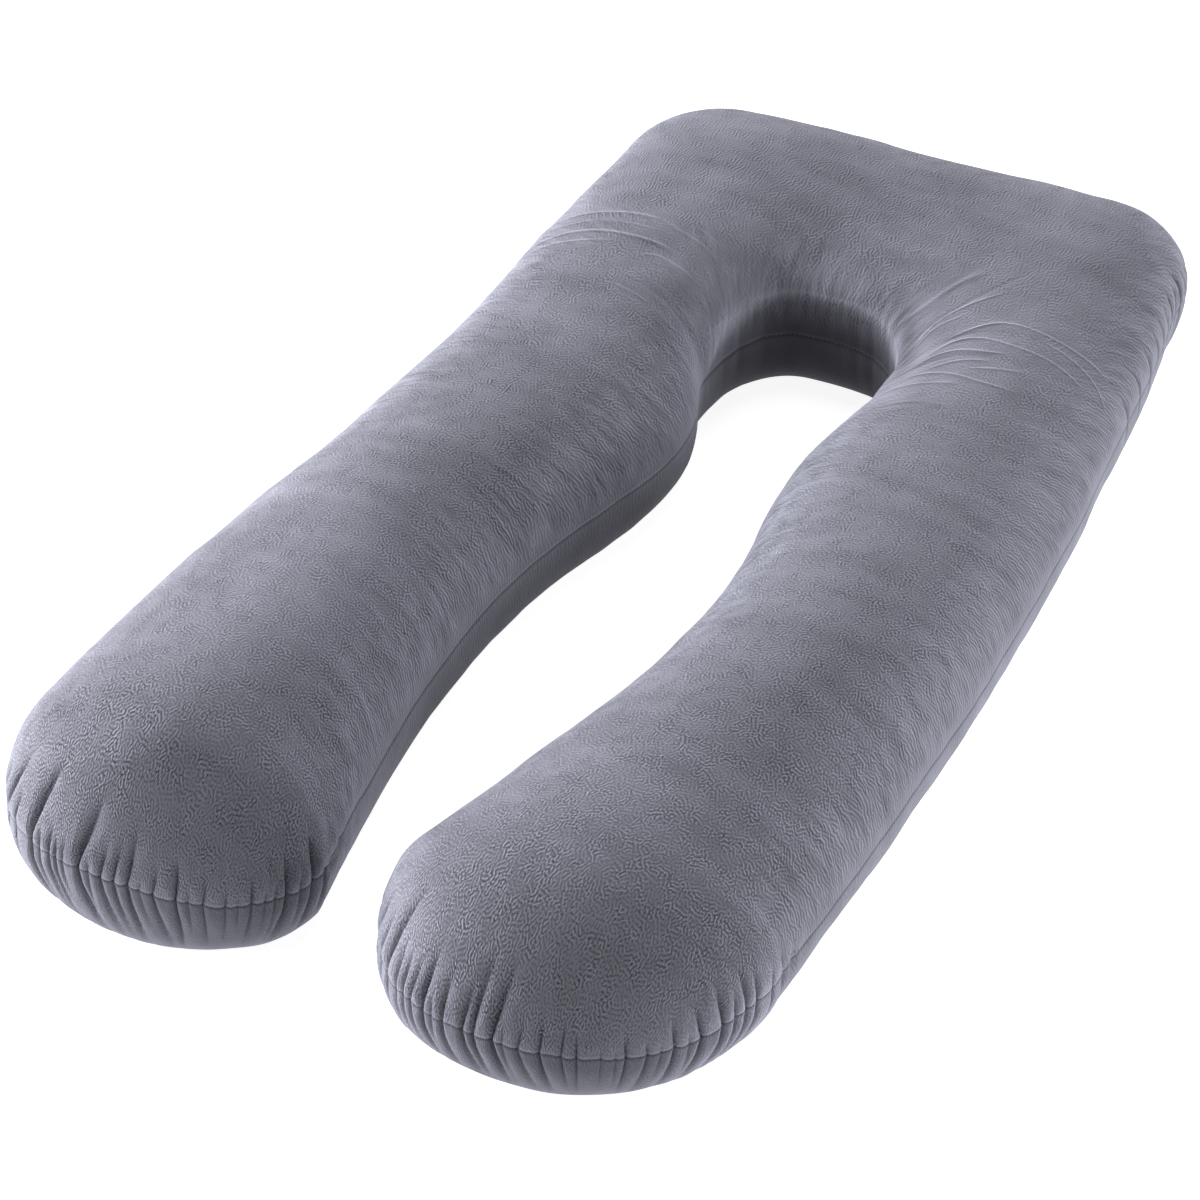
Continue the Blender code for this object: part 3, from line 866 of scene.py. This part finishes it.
class Shader:
    # a material and the one way its nodes are added
    def __init__(self, name):
        self.material = bpy.data.materials.new(name)
        self.material.use_nodes = True
        self.tree = self.material.node_tree
        self.tree.nodes.clear()

    def node(self, kind, settings, inputs, output=0):
        inputs = {name: getattr(value, "socket", value) for name, value in inputs.items()}
        made = addNode(self.tree, kind, settings, inputs)
        return Socket(self, made.outputs[output]) if made.outputs else None

    def math(self, operation, *values):
        inputs = dict(zip(("Value", "Value_001", "Value_002"), values))
        return self.node("ShaderNodeMath", {"operation": operation}, inputs)

    def noise(self, vector, scale, detail=0, distortion=0):
        inputs = {"Vector": vector, "Scale": scale, "Detail": detail, "Distortion": distortion}
        return self.node("ShaderNodeTexNoise", {}, inputs, "Fac")

    def ridges(self, vector, size, turns, aligned):
        # fine lines raised and sunk by turns, from -1 to 1, turned every way or along the pile
        grain = self.attribute("grain", "Vector")
        parts = [self.node("ShaderNodeSeparateXYZ", {}, {"Vector": grain}, name) for name in "YX"]
        inputs = {
            "Vector": vector,
            "Scale": 1 / size,
            "Frequency": turns,
            "Anisotropy": aligned,
            "Orientation 2D": self.math("ARCTAN2", *parts) * 0.5,
        }
        phase = self.node("ShaderNodeTexGabor", {"gabor_type": "2D"}, inputs, "Phase")
        return self.math("COSINE", phase * (2 * math.pi)) ** velvet["wormPower"]

    def scaled(self, vector, scale):
        return self.node("ShaderNodeMapping", {}, {"Vector": vector, "Scale": scale})

    def attribute(self, name, output="Fac"):
        return self.node("ShaderNodeAttribute", {"attribute_name": name}, {}, output)

    def mixed(self, share, first, second, blend="MIX"):
        settings = {"data_type": "RGBA", "blend_type": blend}
        inputs = {"Factor_Float": share, "A_Color": first, "B_Color": second}
        return self.node("ShaderNodeMix", settings, inputs, 2)


# The velvet: colours seen straight on and edge on, its embossing and its nap, and the light and shade
# painted into its colour
velvet = {
    "straight": (0.116, 0.116, 0.141, 1),
    "edgeOn": (0.240, 0.244, 0.298, 1),
    "edgePower": 1.6,
    "shade": (0.014, 0.013, 0.018, 1),  # painted shade, deep in folds and in the wall of the gap
    "roughness": 0.85,
    "sheen": 0.15,
    "sheenRoughness": 0.5,
    "sheenTint": (0.80, 0.80, 0.90, 1),
    "wormStretch": 0.68,
    "wormCoarser": 0.16,  # for each metre towards the head
    "wormSize": 0.0074,
    "wormTurns": 2.0,  # ridges across each patch of that size
    "wormPower": 5,  # how narrow they are
    "wormPull": 0.9,  # how straight they run where the pile is pulled
    "wormLight": (0.80, 0.50),  # at the tips and at the head
    "wormHeight": 2.6,
    "wornScale": 60,
    "worn": 0.35,  # what is left of them where the nap is rubbed
    "wornFrom": (0.30, 0.70),  # limits of the noise between rubbed and fresh
    "headPile": (0.25, 0.97, 0.6),  # the way the pile runs over the head, and how straight
    "fuzzScale": 1100,
    "fuzz": 0.4,
    "bumpDepth": 0.0004,
    "mottleScale": (7, 24, 9),
    "mottle": 0.50,
    "streakScale": (140, 22, 1),  # along the seam and away from it
    "streaks": 1.3,
    "blotchScale": 16,
    "blotch": 0.25,
    "seamLine": (0.0011, 0.52),  # painted shade along the seam's groove: how wide and how dark
    "seamLip": (0.0034, 0.0014, 0.20),  # painted highlight on the edge above the seam: how far above it, how wide, how light
    "ridgeLight": 0.50,  # painted highlight along the rim of the wall
    "creaseLight": (0.18, 0.35),  # painted highlight on a crease for each mm it stands up, and how much painted shade beside it
    "creaseHeight": 1.6,
    "besideCrease": (1.7, 0.9),  # middle and width of that painted shade line, in its widths
    # painted shade in the gathers' folds, at their deepest
    "foldShade": 0.25,
    "specular": 0.1,
}


def velvetMaterial():
    shader = Shader("velvet")
    place = shader.node("ShaderNodeTexCoord", {}, {}, "Object")
    pull = shader.attribute("pull")
    reach = shader.attribute("reach")
    pattern = shader.attribute("pattern", "Vector")
    worms = shader.ridges(pattern, velvet["wormSize"], velvet["wormTurns"], pull * velvet["wormPull"])
    worn = shader.noise(pattern, velvet["wornScale"], 1).between(*velvet["wornFrom"])
    worms = worms * (worn * (1 - velvet["worn"]) + velvet["worn"])
    worms = worms * shader.attribute("clear")
    # the creases' painted highlight and the painted shade beside them
    crease, off = shader.attribute("crease"), shader.attribute("off")
    ridge = off.bell(0, 1)
    light, dark = velvet["creaseLight"]
    creases = crease * (ridge - off.bell(*velvet["besideCrease"]) * dark)
    height = worms * velvet["wormHeight"] + crease * ridge * velvet["creaseHeight"]
    height = height + shader.noise(place, velvet["fuzzScale"], 2) * velvet["fuzz"]
    inputs = {"Strength": 1.0, "Distance": velvet["bumpDepth"], "Height": height}
    bump = shader.node("ShaderNodeBump", {}, inputs)
    mottle = shader.noise(shader.scaled(place, velvet["mottleScale"]), 1, 3) - 0.5
    blotch = shader.noise(place, velvet["blotchScale"], 2) - 0.5
    way = shader.scaled(shader.attribute("way", "Vector"), velvet["streakScale"])
    streaks = shader.noise(way, 1, 3) - 0.5
    facing = shader.node("ShaderNodeLayerWeight", {}, {"Blend": 0.5, "Normal": bump}, "Facing")
    edge = (facing ** velvet["edgePower"]).between(0, 1)
    seam = shader.attribute("seam")
    width, depth = velvet["seamLine"]
    line = reach.bell(0, width) * seam * depth
    above, wide, lip = velvet["seamLip"]
    # the crushed pattern's lines put painted highlights and shade into the colour as well as bump; mottle,
    # blotches and streaks are the cloth's own uneven tone
    tone = worms + mottle * velvet["mottle"] + blotch * velvet["blotch"]
    tone = tone + streaks * shader.attribute("brushed") * velvet["streaks"]
    # painted highlights and shade of the creases, and the painted light line along the wall's rim
    tone = tone + creases * light + shader.attribute("ridge") * velvet["ridgeLight"]
    # the painted light and shade in patches
    tone = tone + shader.attribute("nap")
    # the painted highlight on the seam's lip and the painted shade line along the seam
    tone = (tone + 1 + reach.bell(above, wide) * seam * lip) * (1 - line)
    # the painted shade in the wall of the gap and in the gathers' folds
    dark = shader.math("MAXIMUM", shader.attribute("wall"), shader.attribute("fold") * velvet["foldShade"])
    shared = {
        "Roughness": velvet["roughness"],
        "Specular IOR Level": velvet["specular"],
        "Sheen Weight": velvet["sheen"],
        "Sheen Roughness": velvet["sheenRoughness"],
        "Sheen Tint": velvet["sheenTint"],
        "Normal": bump,
    }
    sides = []
    for colour in (velvet["straight"], velvet["edgeOn"]):
        toned = shader.mixed(1.0, colour, tone, "MULTIPLY")
        shaded = shader.mixed(dark, toned, velvet["shade"])
        sides.append(shader.node("ShaderNodeBsdfPrincipled", {}, {"Base Color": shaded, **shared}))
    mix = shader.node("ShaderNodeMixShader", {}, {"Fac": edge, "Shader": sides[0], "Shader_001": sides[1]})
    shader.node("ShaderNodeOutputMaterial", {}, {"Surface": mix})
    return shader.material


def addAttribute(mesh, name, values):
    vector = np.ndim(values) == 2
    made = mesh.attributes.new(name, "FLOAT_VECTOR" if vector else "FLOAT", "POINT")
    made.data.foreach_set("vector" if vector else "value", np.asarray(values, np.float32).ravel())


# How the pile lies and how plain its pattern is. A band gives the distances along the seam, or
# from it, over which something sets in and then ends.
pile = {
    "tips": (1.68, 1.86, 2.22, 2.40),
    "bight": (2.95, 3.30),
    "pulledSides": (0.125, 0.035),
    "pulledTips": (0.4, (0.035, 0.004)),  # how straight, and how far from the seam
    "pulledBight": (0.5, (0.190, 0.070)),
    "streaks": (0.004, 0.030, 0.075, 0.165),
    "streakTips": (0.75, (1.70, 1.95, 2.15, 2.40)),  # how much fainter they are there
    "streakCreases": 0.8,
    "overHead": ((0.30, 0.60), (0.06, 0.16)),  # by y and by reach
    "wormsAlong": (-0.7, 0.6),  # y from the tips' share of the pattern to the head's
    "wormsAtSeam": 0.30,
    "wormsFrom": (0.001, 0.060, 0.045),  # reach, and how much nearer in front of the tips
    "front": (1.84, 2.00, 2.16, 2.26),
    "stretched": ((0.113, 0.355), (-0.085, 0.360)),  # x and y of cloth pulled smooth
    "stretchedRadius": 0.085,
    "stretchedShare": 0.75,
    "creasedShare": 0.6,
    # how much fainter the seam's painted shade line is, and where
    "seamFainter": ((0.60, (2.30, 2.45)), (0.30, (3.10, 3.25)), (0.50, (1.75, 1.60))),
}

# Painted shade over the head: the cloth is made darker there
headPaintedShade = {
    "share": -0.19,
    "limits": ((-0.30, 0.44), (-0.10, 0.56)),  # y where it starts and is full, on the left and right
    "turn": (-0.02, 0.14),  # x from the left's limits to the right's
    "reach": (0.05, 0.12),
    "ridge": (-0.08, (0.50, 0.62, 0.66, 0.76)),  # a band of painted shade across it in y
    "right": (0.65, (0.08, 0.22)),  # how much less it is there
}

# Painted light and shade: patches made lighter or darker, by how much, on which side (0 is both),
# the bands they keep to, and bells as middle and width
paintedPatches = (
    (-0.17, 1, {"reach": (0.09, 0.17), "y": (-0.64, -0.42, 0.25, 0.45)}, {}),
    (0.26, -1, {"x": (-0.30, -0.21), "reach": (0.10, 0.18), "y": (-0.62, -0.44, -0.36, -0.20)}, {}),
    (-0.20, -1, {"x": (-0.24, -0.31), "reach": (0.06, 0.14), "y": (-0.82, -0.70, -0.35, -0.22)}, {}),
    (-0.14, -1, {"along": (2.75, 2.95, 3.02, 3.10), "away": (0.08, 0.03)}, {}),
    (0.13, 1, {"along": (0.60, 0.75, 1.3, 1.5), "reach": (0.02, 0.05, 0.07, 0.12)}, {}),
    (0.18, 0, {"reach": (0.12, 0.16)}, {"x": (0.19, 0.06), "y": (0.32, 0.12)}),
    (0.16, -1, {"along": (3.18, 3.24, 3.31, 3.36), "reach": (0.030, 0.055, 0.10, 0.13)}, {}),
    (-0.09, 0, {"x": (-0.08, -0.16), "reach": (0.05, 0.12), "y": (-0.25, -0.12, 0.10, 0.22)}, {}),
    (0.75, 1, {"along": (2.11, 2.23, 2.38, 2.55), "away": (0.12, 0.03)}, {}),
    (0.45, 1, {"along": (1.73, 1.79, 1.87, 1.94), "reach": (0.05, 0.005)}, {}),
    (0.18, -1, {}, {"along": (2.06, 0.05), "reach": (0.01, 0.04)}),
    (0.12, 0, {"along": (3.40, 3.50)}, {"reach": (0.082, 0.026)}),
    (-0.30, 1, {"along": (3.26, 3.32, 3.44, 3.49), "reach": (0.035, 0.050, 0.080, 0.110)}, {}),
)


def pullOf(where, overHead):
    # how far the pile is pulled straight, away from the seam
    tip, bight = band(pile["tips"], where["along"]), band(pile["bight"], where["along"])
    pull = band(pile["pulledSides"], where["away"]) * (1 - tip) * (1 - bight)
    for at, name in ((tip, "pulledTips"), (bight, "pulledBight")):
        share, limits = pile[name]
        pull += share * band(limits, where["away"]) * at
    return np.maximum(pull, velvet["headPile"][2] * overHead)


def brushedOf(where, creased):
    # where the nap lies in streaks away from the seam
    share, tips = pile["streakTips"]
    streaks = band(pile["streaks"], where["reach"]) * (1 - share * band(tips, where["along"]))
    return np.maximum(streaks, pile["streakCreases"] * creased)


def clearOf(where, creased):
    # how plain the crushed pattern is
    tips, head = velvet["wormLight"]
    clear = tips + (head - tips) * fade(*pile["wormsAlong"], where["y"])
    start, end, nearer = pile["wormsFrom"]
    end = end - nearer * band(pile["front"], where["along"])
    clear *= pile["wormsAtSeam"] + (1 - pile["wormsAtSeam"]) * fade(start, end, where["reach"])
    for x, y in pile["stretched"]:
        away = np.hypot(where["x"] - x, where["y"] - y)
        clear *= 1 - pile["stretchedShare"] * bell(away, pile["stretchedRadius"])
    return clear * (1 - pile["creasedShare"] * creased)


def paintedLightAndShadeOf(where):
    # painted light and shade: how much lighter or darker the cloth is made in patches
    turn = fade(*headPaintedShade["turn"], where["x"])
    start, end = (left + (right - left) * turn for left, right in headPaintedShade["limits"])
    nap = headPaintedShade["share"] * fade(start, end, where["y"]) * band(headPaintedShade["reach"], where["reach"])
    ridge, limits = headPaintedShade["ridge"]
    less, right = headPaintedShade["right"]
    nap = (nap + ridge * band(limits, where["y"])) * (1 - less * band(right, where["x"]))
    for share, side, bands, bells in paintedPatches:
        patch = share * (side * where["run"] >= 0)
        for name, limits in bands.items():
            patch = patch * band(limits, where[name])
        for name, (middle, width) in bells.items():
            patch = patch * bell(where[name] - middle, width)
        nap += patch
    return nap


def flatVector(pairs):
    return np.column_stack([pairs, np.zeros(len(pairs))])


def patternOf(places, lie, overHead):
    # the pattern's places as they are stretched, and twice the angle across the way its pile lies
    u, v = places.T
    coarser = velvet["wormCoarser"]
    spread = np.column_stack([u * (1 - coarser * v), velvet["wormStretch"] * (v - coarser * v * v / 2)])
    ways = []
    for x, y in (lie.T, velvet["headPile"][:2]):
        across = 2 * np.arctan2(x, -velvet["wormStretch"] * y)
        ways.append(np.column_stack(np.broadcast_arrays(np.cos(across), np.sin(across))))
    grain = ways[0] + (ways[1] - ways[0]) * overHead[:, None]
    return flatVector(spread), flatVector(grain)


print("dressing it in velvet")
where = {"run": known["run"], "reach": known["reach"], "x": points[:, 0], "y": points[:, 1]}
where.update(along=np.abs(known["run"]), away=np.abs(known["reach"]))
byY, byReach = pile["overHead"]
overHead = fade(*byY, known["pattern"][:, 1]) * fade(*byReach, known["reach"])
pattern, grain = patternOf(known["pattern"], known["pile"], overHead)
attributes = {
    "pattern": pattern,
    "grain": grain,
    "way": flatVector(np.column_stack([known["run"], known["reach"]])),
    "clear": clearOf(where, known["creased"]),
    "pull": pullOf(where, overHead),
    "brushed": brushedOf(where, known["creased"]),
    # painted light and shade in patches
    "nap": paintedLightAndShadeOf(where),
    "seam": 1 - sum(share * band(limits, where["along"]) for share, limits in pile["seamFainter"]),
}
for name, values in attributes.items():
    addAttribute(pillowMesh, name, values)
for name in ("reach", "wall", "fold", "ridge", "crease", "off"):
    addAttribute(pillowMesh, name, known[name])
pillowMesh.materials.append(velvetMaterial())

# The stitches of the seam, in metres
stitching = {
    "pitch": 0.0056,
    "length": 0.0034,
    "thickness": 0.0007,
    "proud": 0.0004,  # above the cloth at the bottom of the groove
    "unevenness": 0.18,
    "seed": 5,
    "threads": ((0.075, 0.074, 0.092, 1), (0.16, 0.158, 0.19, 1)),  # darkest and lightest
    "toneScale": 400,
    "roughness": 0.7,
    "specular": 0.3,
}


def stitchTree(material):
    # lays a short thread at even steps along a curve
    tree = bpy.data.node_groups.new("stitches", "GeometryNodeTree")
    interface = tree.interface
    for way in ("INPUT", "OUTPUT"):
        interface.new_socket(name="Geometry", in_out=way, socket_type="NodeSocketGeometry")
    for name in ("Pitch", "Length", "Thickness", "Unevenness"):
        interface.new_socket(name=name, in_out="INPUT", socket_type="NodeSocketFloat")
    interface.new_socket(name="Seed", in_out="INPUT", socket_type="NodeSocketInt")

    def node(kind, settings, **inputs):
        return addNode(tree, kind, settings, inputs)

    given = node("NodeGroupInput", {}).outputs
    route, pitch = given["Geometry"], given["Pitch"]
    points = node("GeometryNodeCurveToPoints", {"mode": "LENGTH"}, Curve=route, Length=pitch)
    bead = node("GeometryNodeMeshUVSphere", {}, Segments=6, Rings=4, Radius=0.5)  # 1 across, then sized
    smooth = node("GeometryNodeSetShadeSmooth", {}, Geometry=bead.outputs["Mesh"])
    shape = node("ShaderNodeCombineXYZ", {}, X=given["Thickness"], Y=given["Thickness"], Z=given["Length"])
    ends = {}
    for operation, end in (("SUBTRACT", "Min_001"), ("ADD", "Max_001")):
        limit = node("ShaderNodeMath", {"operation": operation}, Value=1.0, Value_001=given["Unevenness"])
        ends[end] = limit.outputs[0]
    uneven = node("FunctionNodeRandomValue", {"data_type": "FLOAT"}, Seed=given["Seed"], **ends)
    value = next(s for s in uneven.outputs if s.identifier == "Value_001")
    sized = node("ShaderNodeVectorMath", {"operation": "SCALE"}, Vector=shape.outputs[0], Scale=value)
    laid = node(
        "GeometryNodeInstanceOnPoints",
        {},
        Points=points.outputs["Points"],
        Instance=smooth.outputs["Geometry"],
        Rotation=points.outputs["Rotation"],
        Scale=sized.outputs[0],
    )
    real = node("GeometryNodeRealizeInstances", {}, Geometry=laid.outputs["Instances"])
    dressed = node("GeometryNodeSetMaterial", {}, Geometry=real.outputs["Geometry"], Material=material)
    node("NodeGroupOutput", {}, Geometry=dressed.outputs["Geometry"])
    return tree


def stitched(route, material):
    # the seam's stitches as one plain mesh
    curve = bpy.data.curves.new("seam_route", "CURVE")
    curve.dimensions = "3D"
    spline = curve.splines.new("POLY")
    spline.points.add(len(route) - 1)
    spline.points.foreach_set("co", np.column_stack([route, np.ones(len(route))]).ravel())
    spline.use_cyclic_u = True
    guide = addObject("seam_route", curve)
    modifier = guide.modifiers.new("stitches", "NODES")
    tree = stitchTree(material)
    modifier.node_group = tree
    for item in tree.interface.items_tree:
        if item.in_out == "INPUT" and item.name.lower() in stitching:
            modifier[item.identifier] = stitching[item.name.lower()]
    bpy.context.view_layer.update()
    mesh = bpy.data.meshes.new_from_object(guide.evaluated_get(bpy.context.evaluated_depsgraph_get()))
    mesh.name = "seam_stitches"
    bpy.data.objects.remove(guide)
    return addObject("seam_stitches", mesh)


def threadMaterial():
    shader = Shader("thread")
    place = shader.node("ShaderNodeTexCoord", {}, {}, "Object")
    colour = shader.mixed(shader.noise(place, stitching["toneScale"], 1), *stitching["threads"])
    inputs = {"Roughness": stitching["roughness"], "Specular IOR Level": stitching["specular"]}
    cloth = shader.node("ShaderNodeBsdfPrincipled", {}, {"Base Color": colour, **inputs})
    shader.node("ShaderNodeOutputMaterial", {}, {"Surface": cloth})
    return shader.material


print("stitching the seam")
seamRoute = points[seamRow] + normalsOf(pillowMesh)[seamRow] * stitching["proud"]
seamStitches = stitched(seamRoute, threadMaterial())
print("stitches", len(seamStitches.data.polygons) // 24)

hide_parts("pillow")
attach(pillowCover, "root")
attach(seamStitches, "root")

# Where the camera stands, from the middle of the pillow's base
cameraPlace = {
    "azimuth": 24.27,
    "elevation": 34.42,
    "roll": 1.437,
    "distance": 4.051,
    "target": (-0.0254, -0.1300, 0.0713),
    "lens": 115.73,
    "sensor": 36,
}


def placeCamera(place):
    azimuth, elevation, roll = (math.radians(place[k]) for k in ("azimuth", "elevation", "roll"))
    level = math.cos(elevation)
    back = Vector((math.sin(azimuth) * level, -math.cos(azimuth) * level, math.sin(elevation)))
    data = bpy.data.cameras.new("camera")
    data.lens = place["lens"]
    data.sensor_width = place["sensor"]
    camera = addObject("camera", data)
    camera.location = Vector(place["target"]) + back * place["distance"]
    camera.rotation_euler = back.to_track_quat("Z", "Y").to_euler()
    camera.rotation_euler.rotate_axis("Z", roll)
    bpy.context.scene.camera = camera


placeCamera(cameraPlace)

studio = {
    "lamps": (
        # name, place, width, height, watts
        ("left", (-3.2, -0.4, 1.0), 2.0, 1.6, 205),
        ("leftHigh", (-3.0, 0.2, 2.6), 2.4, 2.4, 95),
        ("frontLeft", (-2.6, -3.0, 1.6), 2.2, 1.8, 85),
        ("top", (0.0, 0.0, 3.6), 3.0, 3.0, 42),
        ("right", (3.2, -0.4, 1.2), 2.0, 1.6, 42),
        ("rightBack", (2.8, 2.0, 1.8), 2.4, 2.0, 80),
    ),
    "room": 0.02,
    "floorReach": 30,
    "floor": 0.50,
    "glow": 0.90,
}


def addLamp(name, place, width, height, watts):
    data = bpy.data.lights.new(name, "AREA")
    data.shape = "RECTANGLE"
    data.size, data.size_y = width, height
    data.energy = watts
    lamp = addObject(name, data)
    lamp.location = place
    lamp.rotation_euler = (-Vector(place)).to_track_quat("-Z", "Y").to_euler()


def makeStudio():
    for lamp in studio["lamps"]:
        addLamp(*lamp)
    world = bpy.data.worlds.new("room")
    bpy.context.scene.world = world
    world.use_nodes = True
    background = world.node_tree.nodes["Background"]
    background.inputs["Color"].default_value = (1, 1, 1, 1)
    background.inputs["Strength"].default_value = studio["room"]
    mesh = bpy.data.meshes.new("floor")
    reach = studio["floorReach"]
    corners = [(reach * x, reach * y, 0) for x, y in ((-1, -1), (1, -1), (1, 1), (-1, 1))]
    mesh.from_pydata(corners, [], [(0, 1, 2, 3)])
    paper = bpy.data.materials.new("paper")
    paper.use_nodes = True
    shader = paper.node_tree.nodes["Principled BSDF"]
    shader.inputs["Base Color"].default_value = (studio["floor"],) * 3 + (1,)
    shader.inputs["Roughness"].default_value = 1.0
    shader.inputs["Specular IOR Level"].default_value = 0.0
    shader.inputs["Emission Color"].default_value = (1, 1, 1, 1)
    shader.inputs["Emission Strength"].default_value = studio["glow"]
    mesh.materials.append(paper)
    addObject("floor", mesh)
    bpy.context.scene.view_settings.view_transform = "Standard"


makeStudio()
